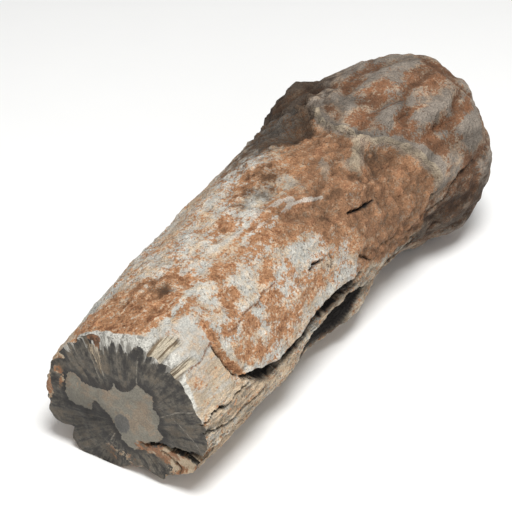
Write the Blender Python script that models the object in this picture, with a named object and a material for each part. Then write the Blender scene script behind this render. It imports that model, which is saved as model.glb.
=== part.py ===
"""A petrified wood log lying on its side: one stone, cut across at its near end.

Metres, +Z up. X runs along the log, from the cut face at -X to the broken end at +X.
The origin is the middle of the log's footprint, on the surface that it rests on.

The shape is worked out in the log's own measures: x in mm from the cut face, and an
angle in degrees round the log from straight up, growing towards -Y.
"""

import math

import bmesh
import bpy
import numpy as np
from mathutils import Vector, noise

MM = 0.001

# Driving dimensions, in mm.
LENGTH = 392.5
GROUND = -53.0
MM_PER_DEGREE = 1.1

# The log's cross-sections: x, centre y, centre z, then twelve radii, one every 30
# degrees from straight up round towards -Y.
SECTIONS = (
    (0, 3, 0, (52, 59, 61, 62, 59, 54, 51, 63, 64, 60, 53, 53.5)),
    (30, 2, 2, (57, 61, 62, 62, 60, 57, 56, 62, 63, 61, 58, 58)),
    (80, 2, 3, (61, 63, 63, 63, 61, 59, 58, 61, 63, 64, 64, 63)),
    (150, 4, 5, (62, 64, 64, 64, 62, 60, 58, 61, 65, 67, 67, 65)),
    (210, 4, 7, (64, 66, 66, 65, 63, 61, 61, 64, 68, 70, 70, 68)),
    (255, 4, 8, (66, 68, 67, 63, 59, 60, 62, 66, 70, 72, 73, 70)),
    (290, 3, 9, (69, 70, 69, 67, 63, 62, 64, 68, 72, 74, 76, 73)),
    (330, 0, 11, (72, 73, 75, 76, 75, 70, 66, 69, 72, 74, 75, 74)),
    (365, -2, 12, (71, 75, 76, 75, 75, 71, 67, 69, 71, 72, 72, 70)),
    (LENGTH, -2, 12, (66, 66, 64, 65, 67, 64, 60, 62, 64, 65, 63, 62)),
)

# The grid that carries the side: rings along x and columns round the log, each
# closer together near the (place, reach, extra density) peaks.
RINGS = 54
RING_PEAKS = ((4, 8, 1.6), (38, 9, 1.4), (268, 24, 0.7), (392, 8, 1.2))
COLUMNS = 62
COLUMN_PEAKS = ((36, 75, 0.9), (84, 9, 1.5), (47, 8, 0.6))
CAP_RINGS = 6

# Lumps and hollows on the side: x, angle, half length and half width in mm, height in
# mm, and how square the shoulders are (2 is a soft mound, 4 a block).
MOUNDS = (
    (314, -60, 26, 17, 9.0, 4),
    (251, -18, 17, 20, -6.5, 2),
    (291, -3, 15, 12, 2.2, 2),
    (300, 23, 22, 8, 2.2, 2),
    (330, 38, 25, 10, 2.6, 2),
    (342, 62, 19, 14, 3.4, 2),
    (345, 10, 24, 16, -1.6, 2),
    (263, 45, 19, 19, -5.0, 4),
    (261, 36, 8, 6, -2.0, 2),
    (276, 78, 12, 11, 3.0, 2),
    (262, 90, 10, 9, 2.6, 2),
    (245, 78, 12, 11, 3.0, 2),
    (222, 74, 9, 8, 1.8, 2),
    (202, 62, 10, 9, 1.8, 2),
    (218, 40, 9, 7, 1.8, 2),
    (328, 48, 6, 4, -3.2, 2),
    (355, 44, 7, 5, -3.2, 2),
    (370, 46, 9, 6, -2.4, 2),
    (164, 40, 6, 5, 1.4, 2),
    (176, 6, 9, 8, -2.4, 2),
    (69, 33, 9, 7, -1.6, 2),
    (50, 6, 20, 15, -2.2, 2),
    (204, 122, 24, 8, 6.0, 2),
    (158, 122, 28, 8, 3.0, 2),
    (8, 25, 9, 7, -3.4, 2),
    (7, 42, 9, 5, -2.6, 2),
    (85, -105, 34, 20, 3.2, 2),
    (150, -132, 28, 20, -4.0, 4),
    (122, -72, 30, 15, -2.6, 2),
    (215, -92, 26, 18, 3.4, 2),
    (338, -112, 30, 22, 3.0, 2),
    (272, -140, 24, 18, -3.6, 2),
    (60, -150, 22, 16, -3.0, 2),
    (180, 150, 34, 14, -3.4, 2),
    (352, 128, 26, 18, 2.6, 2),
)

# Ledges: height of the step in mm, how far it fades on both sides, and the line that
# its top edge follows as (x, angle) points. The high side is on the left of the line,
# with x drawn to the right and the angle up.
LEDGES = (
    (
        3.6,
        20,
        ((47, 73.5), (42, 68.5), (38, 61), (35, 51), (36, 44.5), (37, 38), (41, 30)),
    ),
    (2.0, 12, ((33, 45), (20, 48), (7, 47.5), (-6, 49))),
    (
        4.6,
        24,
        (
            (292, 86), (302, 72), (297, 60), (290, 50), (285, 40), (278, 32), (268, 28),
            (261, 21), (262, 12), (265, -6), (277, -20), (280, -32),
        ),
    ),
    (
        3.8,
        15,
        (
            (205, 86), (183, 83.5), (154, 81), (128, 82.5), (103, 84.5), (84, 87),
            (58, 78), (47, 73.5),
        ),
    ),
    (3.2, 16, ((262, -118), (238, -98), (206, -84), (172, -80), (140, -66), (118, -58))),
    (2.8, 14, ((228, -134), (262, -122), (296, -128), (330, -150))),
)

# Raised veins: height, half width in mm and the (x, angle) line.
RIDGES = (
    (2.8, 6, ((262, 20), (247, 28), (231, 39))),
    (1.3, 4, ((65, 0), (99, 4), (118, 9), (150, 9), (176, 18))),
    (1.3, 4, ((127, 15), (150, 19), (170, 21), (193, 30))),
    (1.6, 5, ((70, -92), (120, -98), (160, -92), (196, -104))),
)

# Open cracks in the side: width and depth in mm, how far the cut leans under the upper
# side in degrees, and the (x, angle) line. The first follows the underside of the bark
# slab, and the second is the deep shaded hollow below it.
CRACKS = (
    (
        4.6,
        12,
        32,
        (
            (43, 73), (50, 75.5), (56, 75), (62, 80.5), (72, 84.5), (84, 88.5), (98, 87),
            (114, 85), (128, 84.5), (142, 84), (156, 83), (170, 83.5), (184, 85), (197, 87),
        ),
    ),
    (17, 15, 14, ((112, 112), (126, 107), (146, 105), (168, 105), (190, 106), (206, 109), (218, 115))),
    (1.7, 4.5, 15, ((-4, 88), (3, 80.5), (12, 78), (24, 80), (40, 81.5), (58, 82))),
    (1.8, 4.5, 15, ((-4, 85), (4, 86), (17, 89.5), (36, 89), (58, 90.5), (76, 92))),
    (1.6, 3.0, 0, ((46, 46.5), (56, 49.5), (66, 47.5), (80, 47.5), (94, 46), (108, 46.5))),
    (2.6, 6.0, 10, ((200, 48), (208, 50.5), (219, 53), (233, 54))),
    (2.0, 4.0, 0, ((144, 57), (157, 58), (166, 66))),
    (6.0, 10, 20, ((224, 108), (246, 112), (270, 116), (290, 117), (300, 110), (310, 106))),
    (2.6, 6.0, 15, ((292, 91), (306, 88.5), (317, 81.5), (330, 78), (346, 76))),
    (2.4, 5.0, 15, ((282, 92), (290, 84.5), (299, 78))),
    (3.6, 4.6, 0, ((283, 28), (295, 29), (308, 29.5), (322, 32))),
    (3.0, 7.0, 10, ((96, -84), (130, -90), (166, -86), (204, -94))),
    (3.4, 8.0, 20, ((246, -112), (280, -106), (318, -110), (350, -104))),
    (2.6, 6.0, 0, ((40, -128), (72, -122), (108, -126))),
)

# Cracks in the cut face: depth in mm and (y, z, width) points.
FACE_CRACKS = (
    (
        18,
        (
            (-8, -23.6, 0.6), (-14, -25, 1.4), (-18, -21, 1.4), (-26, -19.6, 1.6),
            (-33, -21, 2.2), (-38, -17.3, 3.6), (-44, -19, 5.0), (-57, -18, 6.0), (-66, -16, 6.6),
        ),
    ),
    (9, ((-23, -25.5, 0.8), (-29, -27, 1.8), (-33, -31, 2.0), (-39, -37, 1.8), (-46, -46, 1.2))),
)

# Lumps and hollows on the two ends: y, z, half sizes along y and z, and height in mm.
NEAR_MOUNDS = (
    (-34, -32, 20, 9, -3.6),
    (27, 43, 8, 8, -3.4),
    (54, 12, 8, 12, -2.4),
    (16, -46, 9, 8, -1.8),
    (30, -20, 16, 14, 0.8),
    (-38, 20, 16, 20, 0.9),
)
FAR_MOUNDS = (
    (6, 16, 30, 26, 4.5),
    (-34, -8, 18, 22, -5.0),
    (38, 36, 16, 14, -4.0),
    (28, -22, 20, 14, 3.0),
    (-26, 50, 14, 14, 2.5),
)

# Uneven weathering: wavelength and height in mm of the swells, and of the lumps that
# are drawn out along the grain.
SWELL = (46, 2.0)
LUMP = (20, 1.3)
GRAIN = (15, 1.1)
GRAIN_STRETCH = 4.0
END_WEATHERING = (11, 1.3)

# How steep and how long the ledges, lines and the top rim are, in mm or as a share.
LEDGE_SLOPE = 9.0
LINE_END_FADE = 0.12
RIM_RISE = 2.6
RIM_SLOPE = 4.0
RIM_REACH = 60.0
NEAR_DOME = 0.4
FAR_DOME = 2.0

# How a crack's cutting wedge stands out of the stone, in mm, and how its section and
# its ends narrow, as shares of its width.
BLADE_PROUD = 4.0
BLADE_TOP = 0.65
BLADE_FLOOR = 0.15
BLADE_END = 0.3

STONE_COLOUR = (0.42, 0.30, 0.21, 1.0)


def clear_scene():
    for existing in list(bpy.data.objects):
        bpy.data.objects.remove(existing)


def stone_material():
    stone = bpy.data.materials.new("mottled_petrified_wood")
    stone.use_nodes = True
    shader = stone.node_tree.nodes["Principled BSDF"]
    shader.inputs["Base Color"].default_value = STONE_COLOUR
    shader.inputs["Roughness"].default_value = 0.75
    shader.inputs["Metallic"].default_value = 0.0
    return stone


def spread(start, end, count, peaks):
    """Places from start to end, closer together near each peak."""
    fine = np.linspace(start, end, 4001)
    density = np.ones_like(fine)
    for place, reach, extra in peaks:
        density += extra * np.exp(-(((fine - place) / reach) ** 2))
    total = np.concatenate([[0.0], np.cumsum((density[1:] + density[:-1]) / 2)])
    return np.interp(np.linspace(0.0, total[-1], count), total, fine)


def smooth_step(value):
    value = np.clip(value, 0.0, 1.0)
    return value * value * (3.0 - 2.0 * value)


def section_at(x):
    """Centre y, centre z and the twelve radii at each x, on a smooth curve."""
    places = np.array([section[0] for section in SECTIONS], float)
    table = np.array([(y, z, *radii) for _, y, z, radii in SECTIONS], float)
    slopes = np.gradient(table, places, axis=0)
    x = np.clip(x, places[0], places[-1])
    index = np.clip(np.searchsorted(places, x, side="right") - 1, 0, len(places) - 2)
    gap = (places[index + 1] - places[index])[..., None]
    t = (x - places[index])[..., None] / gap
    start = (2 * t**3 - 3 * t**2 + 1) * table[index] + (t**3 - 2 * t**2 + t) * gap * slopes[index]
    end = (3 * t**2 - 2 * t**3) * table[index + 1] + (t**3 - t**2) * gap * slopes[index + 1]
    return start + end


def radius_at(radii, angle):
    """The radius at an angle, on a closed smooth curve through the twelve radii."""
    steps = np.asarray(angle, float) % 360.0 / 30.0
    first = np.floor(steps).astype(int) % 12
    t = steps - np.floor(steps)

    def pick(offset):
        place = np.expand_dims((first + offset) % 12, -1)
        return np.take_along_axis(radii, place, -1)[..., 0]

    before, here, after, later = pick(-1), pick(0), pick(1), pick(2)
    return here + 0.5 * t * (
        after - before
        + t * (2 * before - 5 * here + 4 * after - later + t * (3 * (here - after) + later - before))
    )


def turn(angle, from_angle):
    """The angle between two directions round the log, from -180 to 180."""
    return (np.asarray(angle) - from_angle + 180.0) % 360.0 - 180.0


def line_distance(x, angle, line):
    """Distance in mm to a line on the side, its sign, positive on the left of the line with
    x drawn to the right and the angle up, and the share of its length at the nearest point."""
    centre = line[len(line) // 2][1]
    side = turn(angle, centre) * MM_PER_DEGREE
    points = [(px, (pa - centre) * MM_PER_DEGREE) for px, pa in line]
    lengths = [math.dist(a, b) for a, b in zip(points, points[1:])]
    nearest = np.full(np.shape(x), np.inf)
    sign = np.ones(np.shape(x))
    share = np.zeros(np.shape(x))
    run = 0.0
    for (ax, ay), (bx, by), length in zip(points, points[1:], lengths):
        ux, uy = (bx - ax) / length, (by - ay) / length
        t = np.clip((x - ax) * ux + (side - ay) * uy, 0.0, length)
        dx, dy = x - ax - t * ux, side - ay - t * uy
        distance = np.hypot(dx, dy)
        closer = distance < nearest
        nearest = np.where(closer, distance, nearest)
        sign = np.where(closer, np.where(ux * dy - uy * dx >= 0, 1.0, -1.0), sign)
        share = np.where(closer, (run + t) / sum(lengths), share)
        run += length
    return nearest, sign, share


def ends_fade(share):
    return smooth_step(share / LINE_END_FADE) * smooth_step((1.0 - share) / LINE_END_FADE)


def mound_lift(x, angle):
    lift = np.zeros(np.shape(x))
    for at_x, at_angle, half_length, half_width, height, power in MOUNDS:
        along = (x - at_x) / half_length
        across = turn(angle, at_angle) * MM_PER_DEGREE / half_width
        lift += height * np.exp(-(np.hypot(along, across) ** power))
    return lift


def ledge_lift(x, angle):
    lift = np.zeros(np.shape(x))
    for height, reach, line in LEDGES:
        distance, sign, share = line_distance(x, angle, line)
        step = smooth_step(sign * distance / LEDGE_SLOPE + 0.5) - 0.5
        lift += height * step * np.exp(-distance / reach) * ends_fade(share)
    return lift


def ridge_lift(x, angle):
    lift = np.zeros(np.shape(x))
    for height, half_width, line in RIDGES:
        distance, _, share = line_distance(x, angle, line)
        lift += height * np.exp(-((distance / half_width) ** 2)) * ends_fade(share)
    return lift


def rim_lift(x, angle):
    """The bark side rises quickly behind the top of the cut face, as a chamfer."""
    top = np.exp(-((turn(angle, 5) / 50.0) ** 4))
    return RIM_RISE * top * (1.0 - np.exp(-x / RIM_SLOPE)) * np.exp(-x / RIM_REACH)


def weathering(point):
    """Swells and lumps in mm at one point in mm."""
    size, height = SWELL
    lift = height * noise.noise(point / size)
    size, height = LUMP
    lift += height * noise.noise(point / size + Vector((7.3, 1.9, 4.1)))
    size, height = GRAIN
    drawn_out = Vector((point.x / GRAIN_STRETCH, point.y, point.z)) / size
    return lift + height * noise.noise(drawn_out + Vector((2.2, 8.8, 5.5)))


def side_point(x, angle):
    """Points of the log's side in mm, with every lump and ledge. x and angle are arrays."""
    x = np.asarray(x, float)
    angle = np.asarray(angle, float)
    table = section_at(x)
    radius = radius_at(table[..., 2:], angle)
    radius += mound_lift(x, angle) + ledge_lift(x, angle) + ridge_lift(x, angle) + rim_lift(x, angle)
    radians = np.radians(angle)
    direction = np.stack([np.zeros_like(x), -np.sin(radians), np.cos(radians)], -1)
    centre = np.stack([x, table[..., 0], table[..., 1]], -1)
    rough = [weathering(Vector(p)) for p in (centre + radius[..., None] * direction).reshape(-1, 3)]
    return centre + (radius + np.reshape(rough, radius.shape))[..., None] * direction


def end_rings(rim, outward, mounds, dome):
    """Rings of points that close one end, from its rim to its middle point."""
    middle = rim.mean(axis=0)
    rings = []
    for step in range(1, CAP_RINGS):
        share = 1.0 - step / CAP_RINGS
        ring = middle + (rim - middle) * share
        bulge = np.full(len(ring), dome * (1.0 - share**2))
        for y, z, half_y, half_z, height in mounds:
            off_y, off_z = (ring[:, 1] - y) / half_y, (ring[:, 2] - z) / half_z
            bulge += height * np.exp(-(off_y**2) - off_z**2)
        rough = [END_WEATHERING[1] * noise.noise(Vector(p) / END_WEATHERING[0]) for p in ring]
        ring[:, 0] = rim[:, 0] * share**3 + middle[0] * (1 - share**3) + outward * (bulge + rough)
        rings.append(ring)
    tip = middle + np.array([outward * dome, 0.0, 0.0])
    return rings, tip


def log_points():
    """Every ring of the log in mm, from the cut face's middle to the broken end's."""
    rows = spread(0.0, LENGTH, RINGS, RING_PEAKS)
    columns = spread(-180.0, 180.0, COLUMNS + 1, COLUMN_PEAKS)[:-1]
    x, angle = np.meshgrid(rows, columns, indexing="ij")
    side = side_point(x, angle)
    near_rings, near_tip = end_rings(side[0], -1.0, NEAR_MOUNDS, NEAR_DOME)
    far_rings, far_tip = end_rings(side[-1], 1.0, FAR_MOUNDS, FAR_DOME)
    rings = near_rings[::-1] + list(side) + far_rings
    for ring in rings:
        ring[:, 2] = np.maximum(ring[:, 2], GROUND)
    return rings, near_tip, far_tip


def footprint_centre(rings, tips):
    """The point in mm that becomes the origin: middle of the box, on the ground."""
    points = np.concatenate([*rings, tips])
    low, high = points.min(axis=0), points.max(axis=0)
    return np.array([(low[0] + high[0]) / 2, (low[1] + high[1]) / 2, low[2]])


def add_object(name, mesh_builder, collection):
    mesh = bpy.data.meshes.new(name)
    mesh_builder.to_mesh(mesh)
    mesh_builder.free()
    created = bpy.data.objects.new(name, mesh)
    collection.objects.link(created)
    return created


def bridge(builder, first, second):
    """Quads between two rings of as many points."""
    for here, there in zip(range(len(first)), [*range(1, len(first)), 0]):
        builder.faces.new((first[here], second[here], second[there], first[there]))


def loft_log(collection, rings, near_tip, far_tip, origin):
    builder = bmesh.new()
    loops = [[builder.verts.new((point - origin) * MM) for point in ring] for ring in rings]
    for first, second in zip(loops, loops[1:]):
        bridge(builder, first, second)
    near, far = (builder.verts.new((tip - origin) * MM) for tip in (near_tip, far_tip))
    for loop, tip in ((loops[0], near), (loops[-1], far)):
        for here, there in zip(loop, [*loop[1:], loop[0]]):
            builder.faces.new((tip, here, there))
    bmesh.ops.recalc_face_normals(builder, faces=builder.faces)
    bmesh.ops.triangulate(builder, faces=builder.faces)
    log = add_object("petrified_log", builder, collection)
    log.data.materials.append(stone_material())
    log.data.shade_smooth()
    log.data.set_sharp_from_angle(angle=math.radians(35))
    return log


def loft_blade(name, sections, cutters, origin):
    """A closed strip through unlike four-sided sections, for cutting a crack."""
    builder = bmesh.new()
    loops = [[builder.verts.new((np.array(p) - origin) * MM) for p in section] for section in sections]
    for first, second in zip(loops, loops[1:]):
        bridge(builder, first, second)
    builder.faces.new(loops[0])
    builder.faces.new(loops[-1])
    bmesh.ops.recalc_face_normals(builder, faces=builder.faces)
    blade = add_object(name, builder, cutters)
    blade.hide_render = True
    blade.display_type = "WIRE"
    return blade


def blade_section(outer, floor, across):
    """The four corners of a wedge's section, wide outside and narrow on its floor."""
    return (
        outer + across * BLADE_TOP,
        outer - across * BLADE_TOP,
        floor - across * BLADE_FLOOR,
        floor + across * BLADE_FLOOR,
    )


def side_blade(name, width, depth, lean, line, cutters, origin):
    """A wedge along a line on the side, thin at both ends, that leans under its upper side."""
    x, angle = (np.array(values, float) for values in zip(*line))
    on_side = side_point(np.clip(x, 0.0, LENGTH), angle)
    on_side[:, 0] = x
    radians = np.radians(angle)
    outward = np.stack([np.zeros_like(x), -np.sin(radians), np.cos(radians)], -1)
    upward = np.stack([np.zeros_like(x), np.cos(radians), np.sin(radians)], -1)
    along = np.linspace(0.0, 1.0, len(line))
    taper = BLADE_END + (1.0 - BLADE_END) * np.sin(math.pi * along) ** 0.6
    inward = -outward * math.cos(math.radians(lean)) + upward * math.sin(math.radians(lean))
    sections = []
    for point, up, into, size in zip(on_side, upward, inward, taper):
        outer = point - into * BLADE_PROUD
        floor = point + into * depth * size
        sections.append(blade_section(outer, floor, up * width * size))
    return loft_blade(name, sections, cutters, origin)


def face_blade(name, depth, line, cutters, origin):
    """A wedge along a line on the cut face, that points into the log."""
    sections = []
    for index, (y, z, width) in enumerate(line):
        before = line[max(index - 1, 0)]
        after = line[min(index + 1, len(line) - 1)]
        run = math.dist(before[:2], after[:2])
        across = np.array([0.0, before[1] - after[1], after[0] - before[0]]) / run
        deep = depth * (BLADE_END + (1.0 - BLADE_END) * index / (len(line) - 1))
        outer = np.array([-BLADE_PROUD, y, z])
        floor = np.array([deep, y, z])
        sections.append(blade_section(outer, floor, across * width))
    return loft_blade(name, sections, cutters, origin)


def cut(log, blade):
    crack = log.modifiers.new(blade.name, "BOOLEAN")
    crack.operation = "DIFFERENCE"
    crack.solver = "EXACT"
    crack.object = blade


def new_collection(name):
    collection = bpy.data.collections.new(name)
    bpy.context.scene.collection.children.link(collection)
    return collection


def build_log():
    clear_scene()
    collection = new_collection("petrified_wood_log")
    cutters = new_collection("crack_cutters")
    rings, near_tip, far_tip = log_points()
    origin = footprint_centre(rings, [near_tip, far_tip])
    log = loft_log(collection, rings, near_tip, far_tip, origin)
    for number, (width, depth, lean, line) in enumerate(CRACKS, 1):
        cut(log, side_blade(f"side_crack_{number:02d}", width, depth, lean, line, cutters, origin))
    for number, (depth, line) in enumerate(FACE_CRACKS, 1):
        cut(log, face_blade(f"face_crack_{number:02d}", depth, line, cutters, origin))


build_log()
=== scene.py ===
"""The looks of a petrified wood log: its fine surface, its markings, light and camera.

Shapes are worked out in the log's own measures, as in the solid: x in mm from the cut
face, and an angle in degrees round the log from straight up, growing towards -Y.
"""

import math
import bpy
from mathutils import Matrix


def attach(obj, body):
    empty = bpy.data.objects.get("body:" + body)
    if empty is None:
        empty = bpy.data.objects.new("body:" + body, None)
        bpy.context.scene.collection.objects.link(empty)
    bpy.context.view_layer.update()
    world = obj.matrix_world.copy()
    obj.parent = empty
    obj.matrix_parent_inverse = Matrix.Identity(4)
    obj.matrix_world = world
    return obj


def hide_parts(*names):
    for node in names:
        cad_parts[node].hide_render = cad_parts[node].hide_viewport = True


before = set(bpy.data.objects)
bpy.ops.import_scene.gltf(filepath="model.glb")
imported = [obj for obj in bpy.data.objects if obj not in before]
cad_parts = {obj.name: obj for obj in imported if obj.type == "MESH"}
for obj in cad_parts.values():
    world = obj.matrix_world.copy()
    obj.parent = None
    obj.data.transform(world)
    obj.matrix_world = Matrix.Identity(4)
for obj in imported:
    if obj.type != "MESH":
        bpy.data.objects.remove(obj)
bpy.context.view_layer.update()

from types import SimpleNamespace

import bpy
import numpy as np
from mathutils import Matrix, Vector, noise

MM = 0.001
TO_MM = (1000.0, 1000.0, 1000.0)

# Driving dimensions of the log, in mm, and where the frame's origin lies in it.
LENGTH = 392.5
GROUND = -53.0
MM_PER_DEGREE = 1.1
ORIGIN = np.array([198.902, 0.548, GROUND])

# The log's cross-sections: x, centre y, centre z, then twelve radii, one every 30
# degrees from straight up round towards -Y.
SECTIONS = (
    (0, 3, 0, (52, 59, 61, 62, 59, 54, 51, 63, 64, 60, 53, 53.5)),
    (30, 2, 2, (57, 61, 62, 62, 60, 57, 56, 62, 63, 61, 58, 58)),
    (80, 2, 3, (61, 63, 63, 63, 61, 59, 58, 61, 63, 64, 64, 63)),
    (150, 4, 5, (62, 64, 64, 64, 62, 60, 58, 61, 65, 67, 67, 65)),
    (210, 4, 7, (64, 66, 66, 65, 63, 61, 61, 64, 68, 70, 70, 68)),
    (255, 4, 8, (66, 68, 67, 63, 59, 60, 62, 66, 70, 72, 73, 70)),
    (290, 3, 9, (69, 70, 69, 67, 63, 62, 64, 68, 72, 74, 76, 73)),
    (330, 0, 11, (72, 73, 75, 76, 75, 70, 66, 69, 72, 74, 75, 74)),
    (365, -2, 12, (71, 75, 76, 75, 75, 71, 67, 69, 71, 72, 72, 70)),
    (LENGTH, -2, 12, (66, 66, 64, 65, 67, 64, 60, 62, 64, 65, 63, 62)),
)

# The fine grid: rings along x and columns round the log, closer together near the
# (place, reach, extra density) peaks, and rings across each end.
RINGS = 336
RING_PEAKS = ((3, 9, 1.2), (40, 14, 0.8), (120, 90, 0.35), (392, 8, 1.0))
COLUMNS = 240
COLUMN_PEAKS = ((36, 78, 1.3), (86, 9, 1.9), (113, 18, 1.9), (-104, 26, 1.1))
GAP_COLUMN = 86.0
NEAR_RINGS = 46
FAR_RINGS = 22

# Lumps and hollows on the side: x, angle, half length and half width in mm, height in
# mm, and how square the shoulders are (2 is a soft mound, 4 a block).
MOUNDS = (
    (314, -60, 26, 17, 9.0, 4), (252, -19.5, 13, 9, -7.0, 2), (248, -18, 20, 22, -2.6, 2),
    (291, -3, 15, 12, 2.6, 4), (300, 23, 22, 8, 2.6, 4), (330, 38, 25, 10, 3.0, 4),
    (342, 62, 19, 14, 3.6, 4), (345, 10, 24, 16, -1.6, 2), (263, 45, 19, 19, -5.0, 4),
    (261, 36, 8, 6, -2.0, 2), (276, 78, 12, 11, 3.0, 2), (262, 90, 10, 9, 2.6, 2),
    (245, 78, 12, 11, 3.0, 2), (222, 74, 9, 8, 1.8, 2), (202, 62, 10, 9, 1.8, 2), (218, 40, 9, 7, 1.8, 2),
    (328, 48, 6, 4, -3.2, 2), (355, 44, 7, 5, -3.2, 2), (370, 46, 9, 6, -2.4, 2), (164, 40, 6, 5, 1.4, 2),
    (176, 6, 9, 8, -2.4, 2), (69, 33, 9, 7, -1.6, 2), (50, 6, 20, 15, -2.2, 2), (204, 122, 24, 8, 6.0, 2),
    (85, -105, 34, 20, 3.2, 2), (150, -132, 28, 20, -4.0, 4), (122, -72, 30, 15, -2.6, 2),
    (215, -92, 26, 18, 3.4, 2), (338, -112, 30, 22, 3.0, 2), (272, -140, 24, 18, -3.6, 2),
    (60, -150, 22, 16, -3.0, 2), (180, 150, 34, 14, -3.4, 2), (352, 128, 26, 18, 2.6, 2),
    (0, -118, 15, 8, 3.6, 2), (2, -130, 17, 5, -9.0, 2), (2, -156, 12, 8, -5.0, 2),
    (0, 164, 14, 14, -4.2, 2),
)

# The crumbly stone by the knob, as one more block with its share in place of a height.
CRUMBLY = (280, -44, 52, 38, 1.0, 4)

# Ledges: height of the step in mm, how far it fades on both sides, and the line that
# its top edge follows as (x, angle) points. The high side is on the left of the line,
# with x drawn to the right and the angle up.
SLAB_FRONT = ((47, 73.5), (42, 68.5), (38, 61), (35, 51), (36, 44.5), (37, 38), (41, 30))
PLATE_STEP = ((33, 45), (20, 48), (7, 47.5), (-6, 49))
FAR_RIM = (
    (292, 86), (302, 72), (297, 60), (290, 50), (285, 40), (278, 32), (268, 28), (261, 21), (262, 12),
    (265, -6), (277, -20), (280, -32),
)
SLAB_UNDERSIDE = (
    (205, 86), (183, 83.5), (154, 81), (128, 82.5), (103, 84.5), (84, 87), (58, 78), (47, 73.5),
)
LEDGES = (
    (3.8, 20, SLAB_FRONT),
    (2.0, 12, PLATE_STEP),
    (4.6, 24, FAR_RIM),
    (3.8, 15, SLAB_UNDERSIDE),
    (3.2, 16, ((262, -118), (238, -98), (206, -84), (172, -80), (140, -66), (118, -58))),
    (2.8, 14, ((228, -134), (262, -122), (296, -128), (330, -150))),
)

# The lines of the pale veins and the pale strip, as (x, angle) points. Ridges: height, less
# than 0 for a groove, half width in mm and the line.
PALE_VEINS = (
    ((65, 0), (99, 4), (118, 9), (150, 9), (176, 18)),
    ((127, 15), (150, 19), (170, 21), (193, 30)),
)
PALE_STRIP = ((262, 19), (247, 27), (231, 35.5))
RIDGES = (
    (2.8, 6, PALE_STRIP),
    (1.3, 4, PALE_VEINS[0]),
    (1.3, 4, PALE_VEINS[1]),
    (1.6, 5, ((70, -92), (120, -98), (160, -92), (196, -104))),
    (1.1, 3.4, FAR_RIM),
    (-2.6, 3, ((283, 28), (295, 29), (308, 29.5), (322, 32))),
    (-2.0, 4, ((297, 47.5), (310, 46), (326, 47), (342, 47.5))),
    (-1.8, 4, ((276, 8), (292, 10), (312, 15), (330, 22))),
    (-1.6, 4, ((322, 33), (345, 30), (366, 27))),
)

# The rusty seam and the gap under the bark slab, as (x, angle) points. Open cracks in the
# side: width and depth in mm, how far the cut leans under the upper side in degrees, and the
# line. The first three run along the underside of the slab.
RUST_SEAM = ((46, 46.5), (56, 49.5), (66, 47.5), (80, 47.5), (94, 46), (108, 46.5))
SLAB_GAP = (
    (43, 74.5), (50, 77), (56, 78.5), (62, 82.5), (72, 87), (84, 89.5), (98, 89), (114, 87.5), (130, 86),
    (150, 84.5), (170, 85), (184, 87), (197, 89),
)
CRACKS = (
    (8.6, 14, 30, SLAB_GAP),
    (6.4, 11, 10, ((52, 78.5), (64, 85.5), (74, 90), (86, 92), (100, 91.5), (116, 90))),
    (5.4, 8, 10, ((104, 92.5), (122, 91.5), (146, 90.2), (168, 90.6), (186, 92.5), (200, 94.5))),
    (2.2, 5.0, 15, ((-4, 82), (8, 77.5), (24, 79.5), (37, 81), (49, 80), (60, 82))),
    (2.6, 5.5, 15, ((-4, 85), (3, 87), (16, 92), (27, 93.5), (42, 93.5), (58, 94), (76, 96))),
    (1.6, 1.0, 0, RUST_SEAM),
    (1.7, 2.6, 0, ((33.4, 44.5), (32.2, 51), (35.2, 61), (39.2, 69), (44.5, 74.5))),
    (2.6, 6.0, 10, ((200, 48), (208, 50.5), (219, 53), (233, 54))),
    (1.9, 3.0, 0, ((141, 57), (150, 56), (160, 57.5))),
    (1.7, 2.6, 0, ((168, 57), (166, 62), (163, 65.5), (158, 62.5))),
    (2.2, 4.0, 10, ((193, 74), (202, 79), (211, 86))),
    (6.0, 10, 20, ((224, 108), (246, 112), (270, 116), (290, 117), (300, 110), (310, 106))),
    (2.6, 6.0, 15, ((292, 91), (306, 88.5), (317, 81.5), (330, 78), (346, 76))),
    (2.4, 5.0, 15, ((282, 92), (290, 84.5), (299, 78))),
    (4.4, 5.0, 0, ((96, -84), (130, -90), (166, -86), (204, -94))),
    (4.8, 5.5, 0, ((246, -112), (280, -106), (318, -110), (350, -104))),
    (4.0, 4.5, 0, ((40, -128), (72, -122), (108, -126))),
    (6.0, 9.0, 0, ((-14, 106.5), (4, 106.5), (12, 106), (22, 105.5))),
)

# The deep shaded hollow below the slab: depth and how far its edge slopes, in mm, and
# the outline as (x, angle) points.
HOLLOW = (
    15,
    5.0,
    (
        (110, 113), (117, 104), (125, 98.5), (134, 95.5), (146, 96.5), (158, 97.5), (172, 97), (184, 96),
        (194, 99), (203, 104), (214, 109), (210, 113.5), (200, 117), (190, 120.5), (178, 125), (160, 127),
        (140, 126), (124, 122), (114, 118),
    ),
)

# Two places at the rim where the outer layer has broken away: depth in mm, and the
# outline as (x, angle) points.
NOTCHES = (
    (3.4, ((-6, 22), (3, 22), (12, 22), (16, 25), (18, 31), (16, 34), (8, 33), (1, 33), (-6, 33))),
    (2.8, ((-6, 40), (2, 40.5), (14, 42.5), (18, 46.5), (7, 47), (-6, 48))),
)

# How far the pale rim by the cut end reaches at each angle, as (angle, mm) points.
RIM_BAND = ((-40, 2.5), (-4, 3.5), (8, 6.0), (20, 9.0), (44, 9.0), (52, 4.0), (74, 4.0), (84, 1.0))

# The rust near the cut end has fine curved stripes that follow this (x, angle) line.
STRIPES = ((44, 13), (30, 13.5), (24, 11.5), (17, 8), (7, 2), (0, -10.5), (-4, -16))

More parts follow.
